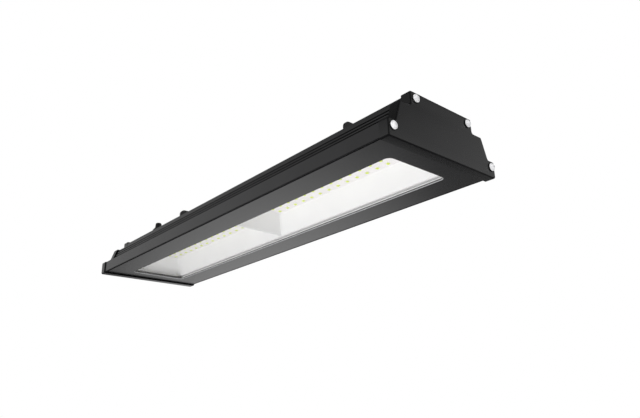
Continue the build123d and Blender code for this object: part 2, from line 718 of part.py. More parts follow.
def gland_seal():
    """Rubber sleeve that grips the cable."""
    x, y = GLAND_AT
    top = gland_seat + GLAND_HEX + GLAND_SPIGOT
    sleeve = post(x, y, top - GLAND_SEAL, top, GLAND_SEAL_R)
    return sleeve - post(x, y, top - GLAND_SEAL - 1, top + 1, CABLE_R)


def gland_nut():
    """Domed sealing nut with a long neck, screwed over the spigot."""
    x, y = GLAND_AT
    hex_top = gland_nut_bottom + GLAND_NUT_HEX
    flat_r = GLAND_HEX_R * math.cos(math.pi / 6)
    dome_top = hex_top + GLAND_DOME
    edge = GLAND_NECK_R - 1.0
    dome = turned([(0, hex_top - 1), (flat_r, hex_top - 1), (flat_r, hex_top + 0.5),
                   (flat_r - 1.2, hex_top + GLAND_DOME * 0.45), (GLAND_NECK_R + 0.8, dome_top),
                   (GLAND_NECK_R, GLAND_TOP - 1.0), (edge, GLAND_TOP), (0, GLAND_TOP)])
    nut = hexagon(GLAND_HEX_R, gland_nut_bottom, hex_top) + dome
    room_top = gland_seat + GLAND_HEX + GLAND_SPIGOT
    nut -= post(x, y, gland_nut_bottom - 1, room_top, GLAND_SPIGOT_R + FIT)
    return nut - post(x, y, room_top - 1, GLAND_TOP + 1, CABLE_R + 2 * SLIP)


def gland_washer():
    """Flat seal between the gland and the housing."""
    x, y = GLAND_AT
    ring = post(x, y, roof_top, gland_seat, GLAND_WASHER_R)
    return ring - post(x, y, roof_top - 1, gland_seat + 1, GLAND_THREAD_R + SLIP)


def pieces():
    """Every piece of the lamp under its name."""
    near = {
        "reflector": reflector(),
        "led_board": board_plate(board_face, board_face + BOARD_THICKNESS),
        "thermal_pad": board_plate(board_face + BOARD_THICKNESS, plate_bottom),
        "leds": diodes(),
        "end_cap": end_cap(),
        "end_gasket": end_gasket(),
        "cap_screws": cap_screws(),
        "cap_washers": cap_washers(),
        "hanger": hanger(),
        "hanger_bolt": hanger_bolt(),
        "hanger_washer": hanger_washer(),
        "hanger_nut": hanger_nut(),
    }
    found = {
        "housing": housing(),
        "front_frame": front_frame(),
        "frame_tape_left": frame_strip(-1),
        "frame_tape_right": frame_strip(1),
        "window_glass": window_glass(),
        "window_seal": window_seal(),
        "board_screws": board_screws(),
        "reflector_screws": reflector_screws(),
        "driver_right": driver(),
        "driver_left": Rot(0, 0, 180) * driver(),
        "driver_screws": driver_screws(),
        "terminal_block": terminal_block(),
        "gland_body": gland_body(),
        "gland_seal": gland_seal(),
        "gland_nut": gland_nut(),
        "gland_washer": gland_washer(),
    }
    for name, shape in near.items():
        found[f"{name}_near"] = shape
        found[f"{name}_far"] = far(shape)
    return found


os.makedirs("parts", exist_ok=True)
for name, shape in pieces().items():
    export_step(shape, f"parts/{name}.step")
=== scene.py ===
"""Looks, light and camera for a slim linear high bay light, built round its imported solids.

The solids give every size and place. This script gives each of them its finish, shades the round edges
of castings, hangers, gland and trays smoothly, and models the small pieces that the eye catches: screws,
washers, diodes and the boards' tracks. All lengths are in metres.
"""

import logging
import math
from dataclasses import dataclass
from enum import Enum
from typing import Iterable, Sequence

import bmesh
import bpy
from mathutils import Matrix, Vector


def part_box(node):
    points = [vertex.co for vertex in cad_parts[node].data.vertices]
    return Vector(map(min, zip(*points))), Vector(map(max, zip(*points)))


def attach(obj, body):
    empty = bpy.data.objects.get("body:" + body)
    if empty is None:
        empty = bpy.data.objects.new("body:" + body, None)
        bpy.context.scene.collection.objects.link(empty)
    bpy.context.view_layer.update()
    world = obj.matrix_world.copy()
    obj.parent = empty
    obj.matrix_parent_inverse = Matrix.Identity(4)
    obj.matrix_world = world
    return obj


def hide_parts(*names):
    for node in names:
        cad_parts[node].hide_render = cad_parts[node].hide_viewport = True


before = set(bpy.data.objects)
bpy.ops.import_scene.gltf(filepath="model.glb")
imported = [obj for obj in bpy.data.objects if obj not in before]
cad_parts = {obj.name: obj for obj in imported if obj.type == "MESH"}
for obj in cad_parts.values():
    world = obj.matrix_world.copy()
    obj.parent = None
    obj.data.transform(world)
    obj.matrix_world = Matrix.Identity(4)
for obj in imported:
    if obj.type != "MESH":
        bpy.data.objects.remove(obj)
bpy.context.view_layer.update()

LOG = logging.getLogger("high_bay_light")
MM = 0.001
BODY = "root"

MERGE = 0.001 * MM             # a solid's vertices that lie closer than this are one
FINE_MERGE = 0.0005 * MM       # the same for turned pieces, and the shortest edge that stays
PLACE_DIGITS = 5               # decimals of a metre that tell two places apart
CREASE = 30.0                  # edges sharper than this, in degrees, stay crisp on most pieces

BLOTCH_DETAIL = 3.0            # octaves of the soft blotches of colour
BLOTCH_SPAN = (0.35, 0.65)     # where most values of their noise lie
GRAIN_DETAIL = 2.0             # octaves of the surface's grain
GRAIN_SPAN = (0.3, 0.7)        # where most values of its noise lie

FIRST, SECOND = 0, 1           # inputs of a node that combines two values
SHARE, UNDER, OVER = 0, 1, 2   # inputs of a node that blends two surfaces
MIX_UNDER, MIX_OVER = 6, 7     # inputs of a node that blends two colours, after its share
MIXED = 2                      # its output

FULL_SCALE = 255               # of a hex colour's channel
SRGB_KNEE = 0.04045            # the sRGB curve is a straight line up to this share of full scale
SRGB_SLOPE = 12.92
SRGB_OFFSET = 0.055
SRGB_POWER = 2.4
WHITE = (1.0, 1.0, 1.0, 1.0)


class End(Enum):
    """The lamp's two ends, by the side of the middle that they lie on."""

    NEAR = 1
    FAR = -1

    @property
    def tag(self) -> str:
        """Name the end as the nodes do.

        Returns:
            "near" or "far".
        """
        return self.name.lower()


def linear(code: str) -> tuple[float, float, float, float]:
    """Turn an sRGB hex colour into linear RGBA.

    Args:
        code: six hex digits, such as "1b1b1c".

    Returns:
        Red, green, blue and an alpha of 1, linear.
    """
    parts = [int(code[i:i + 2], 16) / FULL_SCALE for i in (0, 2, 4)]
    curve = [c / SRGB_SLOPE if c <= SRGB_KNEE else ((c + SRGB_OFFSET) / (1 + SRGB_OFFSET)) ** SRGB_POWER
             for c in parts]
    return (curve[0], curve[1], curve[2], 1.0)


class Shader:
    """A node tree under construction, for a material or the world."""

    def __init__(self, tree: bpy.types.NodeTree) -> None:
        """Start from an empty tree.

        Args:
            tree: the tree that gets the nodes.
        """
        self.tree = tree
        tree.nodes.clear()

    def node(self, kind: str, links: dict | None = None, **settings: object) -> bpy.types.Node:
        """Add one node with its settings, socket values and links.

        Args:
            kind: the node's type name.
            links: input socket name or number to a value, or to an output socket that feeds it.
            settings: attributes of the node itself.

        Returns:
            The new node.
        """
        made = self.tree.nodes.new(kind)
        for name, value in settings.items():
            setattr(made, name, value)
        for name, value in (links or {}).items():
            socket = made.inputs[name]
            if isinstance(value, bpy.types.NodeSocket):
                self.tree.links.new(value, socket)
            else:
                socket.default_value = value
        return made


def fill_stops(grader: bpy.types.Node, stops: Sequence[tuple[float, float]]) -> None:
    """Give a grading node its row of grey stops.

    Args:
        grader: the node, which grades a value from 0 to 1.
        stops: place and brightness of each stop, in rising order. The last one is put at 1.
    """
    scale = grader.color_ramp.elements
    scale.remove(scale[0])
    scale[0].position = 1.0
    for place, level in stops[:-1]:
        scale.new(place).color = (level, level, level, 1.0)
    last = stops[-1][1]
    scale[len(scale) - 1].color = (last, last, last, 1.0)


@dataclass(frozen=True)
class Finish:
    """A surface finish: what it is made of and how it was made.

    Attributes:
        name: the material's name.
        colour: sRGB hex of the plain surface.
        tint: sRGB hex that the surface drifts to in soft blotches.
        roughness: mean roughness.
        spread: how far the roughness wanders round its mean.
        metallic: 1 for bare metal.
        grain: size of the surface's grain in metres.
        relief: depth of the grain in metres.
        blotch: size of the soft blotches of colour in metres.
    """

    name: str
    colour: str
    tint: str
    roughness: float
    spread: float = 0.04
    metallic: float = 0.0
    grain: float = 0.6 * MM
    relief: float = 0.01 * MM
    blotch: float = 30 * MM

    def build(self) -> bpy.types.Material:
        """Make the material.

        Returns:
            A node-based material.
        """
        material = bpy.data.materials.new(self.name)
        material.use_nodes = True
        shader = Shader(material.node_tree)
        place = shader.node("ShaderNodeTexCoord").outputs["Object"]
        drift = shader.node("ShaderNodeTexNoise", {
            "Vector": place, "Scale": 1 / self.blotch, "Detail": BLOTCH_DETAIL})
        grain = shader.node("ShaderNodeTexNoise", {
            "Vector": place, "Scale": 1 / self.grain, "Detail": GRAIN_DETAIL})
        share = shader.node("ShaderNodeMapRange", {
            "Value": drift.outputs["Fac"], "From Min": BLOTCH_SPAN[0], "From Max": BLOTCH_SPAN[1]})
        colour = shader.node("ShaderNodeMix", {
            SHARE: share.outputs["Result"], MIX_UNDER: linear(self.colour), MIX_OVER: linear(self.tint)},
            data_type="RGBA")
        rough = shader.node("ShaderNodeMapRange", {
            "Value": grain.outputs["Fac"], "From Min": GRAIN_SPAN[0], "From Max": GRAIN_SPAN[1],
            "To Min": self.roughness - self.spread, "To Max": self.roughness + self.spread})
        bump = shader.node("ShaderNodeBump", {
            "Height": grain.outputs["Fac"], "Distance": self.relief, "Strength": 1.0})
        surface = shader.node("ShaderNodeBsdfPrincipled", {
            "Base Color": colour.outputs[MIXED], "Metallic": self.metallic,
            "Roughness": rough.outputs["Result"], "Normal": bump.outputs["Normal"]})
        shader.node("ShaderNodeOutputMaterial", {"Surface": surface.outputs["BSDF"]})
        return material


@dataclass(frozen=True)
class ClearGlass:
    """Flat toughened glass: see-through, with the gloss that a pane has at a slant.

    Attributes:
        name: the material's name.
        colour: sRGB hex of what the pane lets through.
        gloss: sRGB hex of its reflections.
        ior: refractive index, for the gloss alone.
        roughness: roughness of the pane's faces.
    """

    name: str
    colour: str
    gloss: str
    ior: float = 1.5
    roughness: float = 0.02

    def build(self) -> bpy.types.Material:
        """Make the material.

        Returns:
            A node-based material.
        """
        material = bpy.data.materials.new(self.name)
        material.use_nodes = True
        shader = Shader(material.node_tree)
        clear = shader.node("ShaderNodeBsdfTransparent", {"Color": linear(self.colour)})
        shine = shader.node("ShaderNodeBsdfGlossy", {
            "Color": linear(self.gloss), "Roughness": self.roughness})
        slant = shader.node("ShaderNodeFresnel", {"IOR": self.ior})
        inside = shader.node("ShaderNodeNewGeometry").outputs["Backfacing"]
        outside = shader.node("ShaderNodeMath", {FIRST: 1.0, SECOND: inside}, operation="SUBTRACT")
        share = shader.node("ShaderNodeMath", {
            FIRST: slant.outputs["Fac"], SECOND: outside.outputs["Value"]}, operation="MULTIPLY")
        surface = shader.node("ShaderNodeMixShader", {
            SHARE: share.outputs["Value"], UNDER: clear.outputs["BSDF"], OVER: shine.outputs["BSDF"]})
        shader.node("ShaderNodeOutputMaterial", {"Surface": surface.outputs["Shader"]})
        return material


# Baked powder on extruded aluminium: near black, with a soft sheen that mirrors the room as a blur.
POWDER_COAT = Finish("satin_black_powder_coat", "141415", "171718", roughness=0.24, grain=0.5 * MM,
                     relief=0.003 * MM)
# The same coat on die-cast caps: a shade darker, and a little duller over the cast skin.
CAST_COAT = Finish("satin_black_coated_casting", "0e0e0f", "101011", roughness=0.26, grain=0.7 * MM,
                   relief=0.004 * MM)
# Enamelled bent plate: black, with a broad dull highlight along its bends.
HANGER_COAT = Finish("black_enamelled_steel", "0e0e0f", "111112", roughness=0.30, grain=0.8 * MM,
                     relief=0.005 * MM)
# A pale grey, part metallic, on the bevel round the window: a painted highlight, for the bright line along
# the bevel's edge. A faint grain runs over it.
BEVEL_PAINTED_HIGHLIGHT = Finish("bevel_painted_highlight", "b9babc", "afb0b2", roughness=0.5, metallic=0.3,
                   grain=0.2 * MM, relief=0.003 * MM, blotch=6 * MM)
# The opening's walls: a dark grey without gloss, lighter than the coat round them.
OPENING_WALL_GREY = Finish("grey_opening_walls", "4c4b4b", "464545", roughness=0.45, relief=0.003 * MM,
                   blotch=6 * MM)
# Turned and tumbled steel: bright and almost white. Part of its metal is given up for a white base colour, a
# painted reflection that stays bright where the room is dim, as the real heads do. The tumbled grain is
# drawn coarser than it is, so that it shows.
STEEL_AND_PAINTED_SHINE = Finish("turned_steel_and_painted_shine", "fefeff", "f8f8fa", roughness=0.14, metallic=0.3,
                   grain=0.25 * MM, relief=0.002 * MM, blotch=2 * MM)
# Plated steel: a bluish grey metal, seen only on hidden screws and nuts.
ZINC = Finish("zinc_plated_steel", "b9bcc0", "a5a9ae", roughness=0.35, metallic=1.0, grain=0.3 * MM,
              relief=0.004 * MM, blotch=4 * MM)
# White lacquer on the trays' sheet: bright and even, with no mirror image of the diodes.
REFLECTOR_COAT = Finish("satin_white_reflector_coat", "f7f7f8", "f4f4f5", roughness=0.35,
                        relief=0.004 * MM)
# Printed white mask on the boards: a warmer, slightly darker white than the trays.
SOLDER_MASK = Finish("white_solder_mask", "eae7e7", "e5e2e2", roughness=0.3, grain=0.9 * MM,
                     relief=0.004 * MM, blotch=12 * MM)
# Moulded package in a pale yellow green: a painted glow, for the phosphor's light that shines through the
# moulding beside its window.
DIODE_BODY_PAINTED_GLOW = Finish("diode_body_painted_glow", "ebf4a4", "e5ee9a", roughness=0.4, blotch=3 * MM)
# Phosphor in clear silicone: a strong yellow green with a wet gloss. Its grains are drawn coarser
# than they are, so that they show.
PHOSPHOR = Finish("yellow_green_phosphor", "d6ea56", "cde24c", roughness=0.25, spread=0.05,
                  grain=0.15 * MM, relief=0.004 * MM, blotch=1.5 * MM)
# Extruded silicone: a dull white ring behind the glass's edge.
SILICONE = Finish("matt_white_silicone", "ededed", "e6e6e6", roughness=0.6, blotch=8 * MM)
# Moulded rubber: black with hardly any highlight.
RUBBER = Finish("matt_black_rubber", "151515", "1b1b1b", roughness=0.7, grain=0.3 * MM, blotch=3 * MM)
# Spark-eroded mould texture on nylon: black with a broken, soft highlight.
NYLON = Finish("moulded_black_nylon", "141414", "191919", roughness=0.45, grain=0.25 * MM,
               relief=0.008 * MM, blotch=5 * MM)
# Filled silicone sheet: a flat grey.
GAP_PAD = Finish("grey_gap_pad", "8d9298", "848a91", roughness=0.8, blotch=6 * MM)
# Foamed tape: a flat dark grey.
FOAM_TAPE = Finish("black_foam_tape", "202020", "262626", roughness=0.85, blotch=3 * MM)
# Drawn sheet: a plain grey metal with a broad highlight.
DRAWN_CASE = Finish("drawn_aluminium_case", "a7a9ac", "9b9ea2", roughness=0.38, metallic=1.0,
                    grain=0.4 * MM, blotch=10 * MM)
# Moulded polyamide: an off-white with a weak sheen.
MOULDED_BLOCK = Finish("moulded_polyamide_block", "d8d7d0", "cfcec6", roughness=0.5, blotch=4 * MM)
# Low-iron float glass: clear, and glossy only at a slant. Its gloss is held back, so that the boards
# stay clear to the eye at the far end.
WINDOW_GLASS = ClearGlass("clear_toughened_glass", "fefefe", "606060")


class Dresser:
    """Gives pieces their finishes and reports them, building each material once."""

    def __init__(self) -> None:
        """Start with no material made."""
        self.made: dict[str, bpy.types.Material] = {}

    def material(self, finish: Finish | ClearGlass) -> bpy.types.Material:
        """Fetch a finish's material.

        Args:
            finish: the finish.

        Returns:
            Its material, made the first time that it is asked for.
        """
        if finish.name not in self.made:
            self.made[finish.name] = finish.build()
        return self.made[finish.name]

    def dress(self, piece: bpy.types.Object, *finishes: Finish | ClearGlass) -> None:
        """Put finishes on a piece, one per material slot.

        Args:
            piece: the object.
            finishes: its finishes, in the order of its slots.
        """
        if piece.data.materials:
            piece.data.materials.clear()
        for finish in finishes:
            piece.data.materials.append(self.material(finish))

    def dress_nodes(self, finish: Finish | ClearGlass, nodes: Iterable[str]) -> None:
        """Put one finish on solids that show as they are.

        Args:
            finish: the finish.
            nodes: names of the solids.
        """
        for node in nodes:
            self.dress(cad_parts[node], finish)
            LOG.info("%s keeps its solid, in %s", node, finish.name)


def piece_from(name: str, form: bmesh.types.BMesh, replaced: Sequence[str],
               crease: float = CREASE) -> bpy.types.Object:
    """Turn a finished form into a piece that rides on the lamp.

    Args:
        name: the piece's name.
        form: its mesh under construction, freed here.
        replaced: solids that the piece stands for.
        crease: edges sharper than this, in degrees, stay crisp.

    Returns:
        The new object.
    """
    mesh = bpy.data.meshes.new(name)
    form.to_mesh(mesh)
    form.free()
    mesh.shade_smooth()
    mesh.set_sharp_from_angle(angle=math.radians(crease))
    piece = bpy.data.objects.new(name, mesh)
    bpy.context.scene.collection.objects.link(piece)
    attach(piece, BODY)
    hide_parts(*replaced)
    LOG.info("%s: %d faces", name, len(mesh.polygons))
    return piece


def merged_copy(node: str) -> bmesh.types.BMesh:
    """Copy a solid's mesh with its loose triangles joined, so that its round faces can shade smoothly.

    Args:
        node: the solid's name.

    Returns:
        The joined copy.
    """
    form = bmesh.new()
    form.from_mesh(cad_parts[node].data)
    bmesh.ops.remove_doubles(form, verts=form.verts[:], dist=MERGE)
    bmesh.ops.dissolve_degenerate(form, edges=form.edges[:], dist=FINE_MERGE)
    return form


def turn(form: bmesh.types.BMesh, profile: Sequence[tuple[float, float]],
         steps: int) -> list[bmesh.types.BMVert]:
    """Turn half of a section about Z and close its poles.

    Args:
        form: the mesh under construction.
        profile: radius and height of each point, from the axis round to the axis.
        steps: facets round the axis.

    Returns:
        The turned vertices.
    """
    before = set(form.verts)
    chain = [form.verts.new((radius, 0.0, height)) for radius, height in profile]
    edges = [form.edges.new(pair) for pair in zip(chain, chain[1:])]
    bmesh.ops.spin(form, geom=chain + edges, cent=(0, 0, 0), axis=(0, 0, 1), dvec=(0, 0, 0),
                   angle=math.tau, steps=steps, use_merge=True)
    made = [v for v in form.verts if v not in before]
    bmesh.ops.remove_doubles(form, verts=made, dist=FINE_MERGE)
    made = [v for v in form.verts if v not in before]
    members = set(made)
    faces = [face for face in form.faces if members.issuperset(face.verts)]
    bmesh.ops.recalc_face_normals(form, faces=faces)
    return made


def settle(form: bmesh.types.BMesh) -> None:
    """Put a turned form's vertices and faces in the same order in each run, by their places.

    Args:
        form: the mesh under construction.
    """
    for parts, place in ((form.verts, lambda vert: vert.co),
                         (form.faces, lambda face: face.calc_center_median())):
        ranked = sorted(parts, key=lambda part: tuple(round(c, PLACE_DIGITS) for c in place(part)))
        for index, part in enumerate(ranked):
            part.index = index
        parts.sort()


def quarter(centre: tuple[float, float], radii: tuple[float, float],
            steps: int) -> list[tuple[float, float]]:
    """Points on a quarter of an ellipse in a section, from above its centre out to its side.

    Args:
        centre: radius and height of the ellipse's centre.
        radii: half axes along radius and height.
        steps: number of chords.

    Returns:
        Radius and height of each point, both ends included.
    """
    angles = [math.radians(90 - 90 * i / steps) for i in range(steps + 1)]
    return [(centre[0] + radii[0] * math.cos(a), centre[1] + radii[1] * math.sin(a)) for a in angles]


def islands(node: str) -> list[tuple[Vector, Vector]]:
    """Boxes of the separate solids that share a node.

    Args:
        node: the node's name.

    Returns:
        Lowest and highest corner of each, in a steady order.
    """
    form = merged_copy(node)
    left = set(form.verts)
    found = []
    while left:
        queue = [left.pop()]
        members = []
        while queue:
            vert = queue.pop()
            members.append(vert.co.copy())
            for edge in vert.link_edges:
                other = edge.other_vert(vert)
                if other in left:
                    left.discard(other)
                    queue.append(other)
        low = Vector(min(m[i] for m in members) for i in range(3))
        high = Vector(max(m[i] for m in members) for i in range(3))
        found.append((low, high))
    form.free()
    return sorted(found, key=lambda box: tuple(round(c, PLACE_DIGITS) for c in box[0]))


@dataclass
class SmoothShells:
    """Coated castings and bent plates: the solids' own form, with their round edges shaded smoothly.

    Attributes:
        dresser: gives the copies their finish.
        crease: edges sharper than this, in degrees, stay crisp.
    """

    dresser: Dresser
    crease: float = 32.0

    def build(self, finish: Finish, slot: str, nodes: Iterable[str]) -> None:
        """Make a smooth copy of each solid.

        Args:
            finish: the copies' finish.
            slot: the record's material slot; not used.
            nodes: names of the solids.
        """
        for node in nodes:
            piece = piece_from(f"{node}_smooth", merged_copy(node), [node], self.crease)
            self.dresser.dress(piece, finish)


@dataclass
class FrontPlate:
    """The flat front frame, coated, with a painted highlight on the bevel round its window.

    Attributes:
        dresser: gives the frame its finishes.
        slant: how far down a bevel's face looks, as the least and the greatest share.
        beside: the bevel and the opening's walls lie this close to the glass, seen from below.
        bevel_slot: material slot of the bevel's painted highlight.
        wall_slot: material slot of the opening's walls.
        crease: edges sharper than this, in degrees, stay crisp.
    """

    dresser: Dresser
    slant: tuple[float, float] = (0.3, 0.95)
    beside: float = 2.0 * MM
    bevel_slot: int = 1
    wall_slot: int = 2
    crease: float = 20.0

    def build(self) -> None:
        """Copy the solid, paint a highlight on the bevel and give the opening's walls their grey."""
        form = merged_copy("front_frame")
        low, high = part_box("window_glass")
        least, most = self.slant
        for face in form.faces:
            down = -face.normal.z
            place = face.calc_center_median()
            opening = all(low[i] - self.beside < place[i] < high[i] + self.beside for i in (0, 1))
            if opening and least < down < most:
                face.material_index = self.bevel_slot
            elif opening and abs(down) < least:
                face.material_index = self.wall_slot
        piece = piece_from("front_frame_coated", form, ["front_frame"], self.crease)
        # the bevel gets a painted highlight, the opening's walls a flat grey
        self.dresser.dress(piece, POWDER_COAT, BEVEL_PAINTED_HIGHLIGHT, OPENING_WALL_GREY)


@dataclass
class CapScrews:
    """Bright flanged pan-head screws with a hexagon socket, each on a dark sealing washer.

    Attributes:
        dresser: gives the pieces their finishes.
        edge: radius of the flange's outer edge.
        socket: half of the socket's width across its corners.
        socket_depth: depth of the socket.
        mouth: distance between the rings at the socket's mouth, before they become a hexagon.
        flange: height of the flange.
        flange_width: how far the flange reaches past the pan.
        groove: width and depth of the groove round the pan.
        shank: radius of the shank.
        point: bevel at the screw's tip.
        washer_edge: radius of the washer's outer edge.
        washer_fit: room round the shank in the washer.
        steps: facets round the axis.
        dome_steps: chords of the pan's dome.
        edge_steps: chords of a rounded edge.
        ring_match: how closely a vertex keeps to a ring that becomes a hexagon.
        crease: edges sharper than this, in degrees, stay crisp.
    """

    dresser: Dresser
    edge: float = 0.3 * MM
    socket: float = 1.5 * MM
    socket_depth: float = 1.2 * MM
    mouth: float = 0.1 * MM
    flange: float = 0.9 * MM
    flange_width: float = 1.1 * MM
    groove: float = 0.4 * MM
    shank: float = 2.0 * MM
    point: float = 0.6 * MM
    washer_edge: float = 0.3 * MM
    washer_fit: float = 0.1 * MM
    steps: int = 48
    dome_steps: int = 16
    edge_steps: int = 3
    ring_match: float = 0.02 * MM
    crease: float = 28.0

    def place(self, end: End, low: Vector, high: Vector) -> Matrix:
        """Put a piece that was turned about Z on a screw's axis, pointing out of the cap.

        Args:
            end: the lamp's end.
            low: the solid's lowest corner.
            high: the solid's highest corner.

        Returns:
            The move from the turning axis to the lamp.
        """
        centre = (low + high) / 2
        out = Matrix.Rotation(math.radians(90 * end.value), 4, "Y")
        return Matrix.Translation((0, centre.y, centre.z)) @ out

    def hexagon(self, verts: Iterable[bmesh.types.BMVert], radius: float) -> None:
        """Press a ring of the socket into a hexagon.

        Args:
            verts: vertices of the turned head.
            radius: the ring's radius before.
        """
        side = math.tau / 6
        for vert in verts:
            ring = math.hypot(vert.co.x, vert.co.y)
            if abs(ring - radius) < self.ring_match:
                angle = math.atan2(vert.co.y, vert.co.x) % side - side / 2
                grow = math.cos(side / 2) / math.cos(angle) * self.socket / ring
                vert.co.x *= grow
                vert.co.y *= grow

    def build(self, end: End) -> None:
        """Model one cap's screws and washers.

        Args:
            end: the lamp's end.
        """
        screws, washers = bmesh.new(), bmesh.new()
        washer_node, screw_node = f"cap_washers_{end.tag}", f"cap_screws_{end.tag}"
        for low, high in islands(washer_node):
            self.washer(washers, end, low, high)
        seat = max(abs(c) for box in islands(washer_node) for c in (box[0].x, box[1].x))
        for low, high in islands(screw_node):
            self.screw(screws, end, low, high, seat)
        settle(screws)
        settle(washers)
        piece = piece_from(f"{screw_node}_turned", screws, [screw_node], self.crease)
        # the heads' near white is partly a painted reflection
        self.dresser.dress(piece, STEEL_AND_PAINTED_SHINE)
        piece = piece_from(f"{washer_node}_bonded", washers, [washer_node])
        self.dresser.dress(piece, RUBBER)

    def screw(self, form: bmesh.types.BMesh, end: End, low: Vector, high: Vector, seat: float) -> None:
        """Turn one screw and press its socket.

        Args:
            form: the mesh that takes the screw.
            end: the lamp's end.
            low: the solid's lowest corner.
            high: the solid's highest corner.
            seat: the washer's outer face, from the lamp's middle.
        """
        head = (high.y - low.y) / 2
        top = max(abs(low.x), abs(high.x))
        tip = min(abs(low.x), abs(high.x))
        rim = self.socket + self.mouth
        pan = head - self.flange_width
        shelf = seat + self.flange
        profile = [(0.0, top - self.socket_depth), (self.socket, top - self.socket_depth),
                   (self.socket, top - self.mouth)]
        dome = quarter((0.0, shelf), (pan, top - shelf), self.dome_steps)
        profile += [(rim, top)] + [point for point in dome if point[0] > rim + self.mouth]
        profile += [(pan, shelf - self.groove), (pan + self.groove, shelf - self.groove),
                    (pan + self.groove, shelf)]
        profile += quarter((head - self.edge, shelf - self.edge), (self.edge, self.edge), self.edge_steps)
        profile += [(head, seat)]
        profile += [(self.shank, seat), (self.shank, tip + self.point), (self.shank - self.point, tip),
                    (0.0, tip)]
        made = turn(form, profile, self.steps)
        for radius in (self.socket, rim):
            self.hexagon(made, radius)
        bmesh.ops.transform(form, matrix=self.place(end, low, high), verts=made)

    def washer(self, form: bmesh.types.BMesh, end: End, low: Vector, high: Vector) -> None:
        """Turn one bonded sealing washer.

        Args:
            form: the mesh that takes the washer.
            end: the lamp's end.
            low: the solid's lowest corner.
            high: the solid's highest corner.
        """
        outer = (high.y - low.y) / 2
        foot = min(abs(low.x), abs(high.x))
        top = max(abs(low.x), abs(high.x))
        hole = self.shank + self.washer_fit
        profile = [(hole, foot), (hole, top)]
        profile += quarter((outer - self.washer_edge, top - self.washer_edge),
                           (self.washer_edge, self.washer_edge), self.edge_steps)
        profile += [(outer, foot), (hole, foot)]
        made = turn(form, profile, self.steps)
        bmesh.ops.transform(form, matrix=self.place(end, low, high), verts=made)


@dataclass
class DiodeBoards:
    """White boards with their rows of yellow-green diodes.

    Attributes:
        dresser: gives the pieces their finishes.
        rim: width of the package's wall round its phosphor.
        dome: how far the phosphor stands out of the package.
        corner: radius of the package's and the phosphor's corners.
        corner_steps: chords of a corner.
        phosphor_slot: material slot of the phosphor.
        crease: edges sharper than this, in degrees, stay crisp.
        trace_width: width of the copper under a row of diodes.
        trace_height: how far the copper lifts the mask.
        trace_past: how far the copper runs past the outer diodes.
    """

    dresser: Dresser
    rim: float = 0.1 * MM
    dome: float = 0.12 * MM
    corner: float = 0.35 * MM
    corner_steps: int = 2
    phosphor_slot: int = 1
    crease: float = 25.0
    trace_width: float = 2.4 * MM
    trace_height: float = 0.05 * MM
    trace_past: float = 1.5 * MM

    def diode(self, side: float, height: float) -> bmesh.types.BMesh:
        """Model one diode package that hangs below its board, centred on its mount face.

        Args:
            side: the package's side.
            height: the package's height.

        Returns:
            The package, with its phosphor in the second material slot.
        """
        form = bmesh.new()
        self.block(form, side - 2 * self.rim, -height - self.dome, -height + self.dome)
        for face in form.faces:
            face.material_index = self.phosphor_slot
        self.block(form, side, -height, 0.0)
        bmesh.ops.recalc_face_normals(form, faces=form.faces[:])
        return form

    def block(self, form: bmesh.types.BMesh, side: float, low: float, high: float) -> None:
        """Add a square block with rounded upright edges.

        Args:
            form: the mesh that takes the block.
            side: the block's side.
            low: height of its lower face.
            high: height of its upper face.
        """
        made = bmesh.ops.create_cube(form, size=1.0)["verts"]
        bmesh.ops.scale(form, vec=(side, side, high - low), verts=made)
        bmesh.ops.translate(form, vec=(0, 0, (low + high) / 2), verts=made)
        edges = [edge for edge in form.edges if edge.verts[0] in made]
        uprights = [e for e in edges if abs(e.verts[0].co.z - e.verts[1].co.z) > (high - low) / 2]
        bmesh.ops.bevel(form, geom=uprights, offset=self.corner, segments=self.corner_steps, profile=0.5,
                        affect="EDGES", material=-1)

    def build(self, end: End) -> None:
        """Model one board and its diodes.

        Args:
            end: the lamp's end.
        """
        node = f"leds_{end.tag}"
        boxes = islands(node)
        low, high = boxes[0]
        single = self.diode(high.x - low.x, high.z - low.z)
        mesh = bpy.data.meshes.new("diode")
        single.to_mesh(mesh)
        single.free()
        form = bmesh.new()
        for low, high in boxes:
            before = set(form.verts)
            form.from_mesh(mesh)
            made = [v for v in form.verts if v not in before]
            centre = (low + high) / 2
            bmesh.ops.translate(form, vec=(centre.x, centre.y, high.z), verts=made)
        bpy.data.meshes.remove(mesh)
        piece = piece_from(f"{node}_packages", form, [node], self.crease)
        # the packages' yellow-green body is a painted glow
        self.dresser.dress(piece, DIODE_BODY_PAINTED_GLOW, PHOSPHOR)
        self.board(end, boxes)

    def board(self, end: End, boxes: list[tuple[Vector, Vector]]) -> None:
        """Model one board with the copper that runs under its mask.

        Args:
            end: the lamp's end.
            boxes: the boxes of its diodes.
        """
        node = f"led_board_{end.tag}"
        form = merged_copy(node)
        low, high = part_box(node)
        rows = sorted({round((a.y + b.y) / 2, PLACE_DIGITS) for a, b in boxes})
        start = min(a.x for a, _ in boxes) - self.trace_past
        stop = max(b.x for _, b in boxes) + self.trace_past
        for y in rows:
            made = bmesh.ops.create_cube(form, size=1.0)["verts"]
            bmesh.ops.scale(form, vec=(stop - start, self.trace_width, self.trace_height), verts=made)
            bmesh.ops.translate(form, vec=((start + stop) / 2, y, low.z - self.trace_height / 2), verts=made)
        piece = piece_from(f"{node}_masked", form, [node])
        self.dresser.dress(piece, SOLDER_MASK)


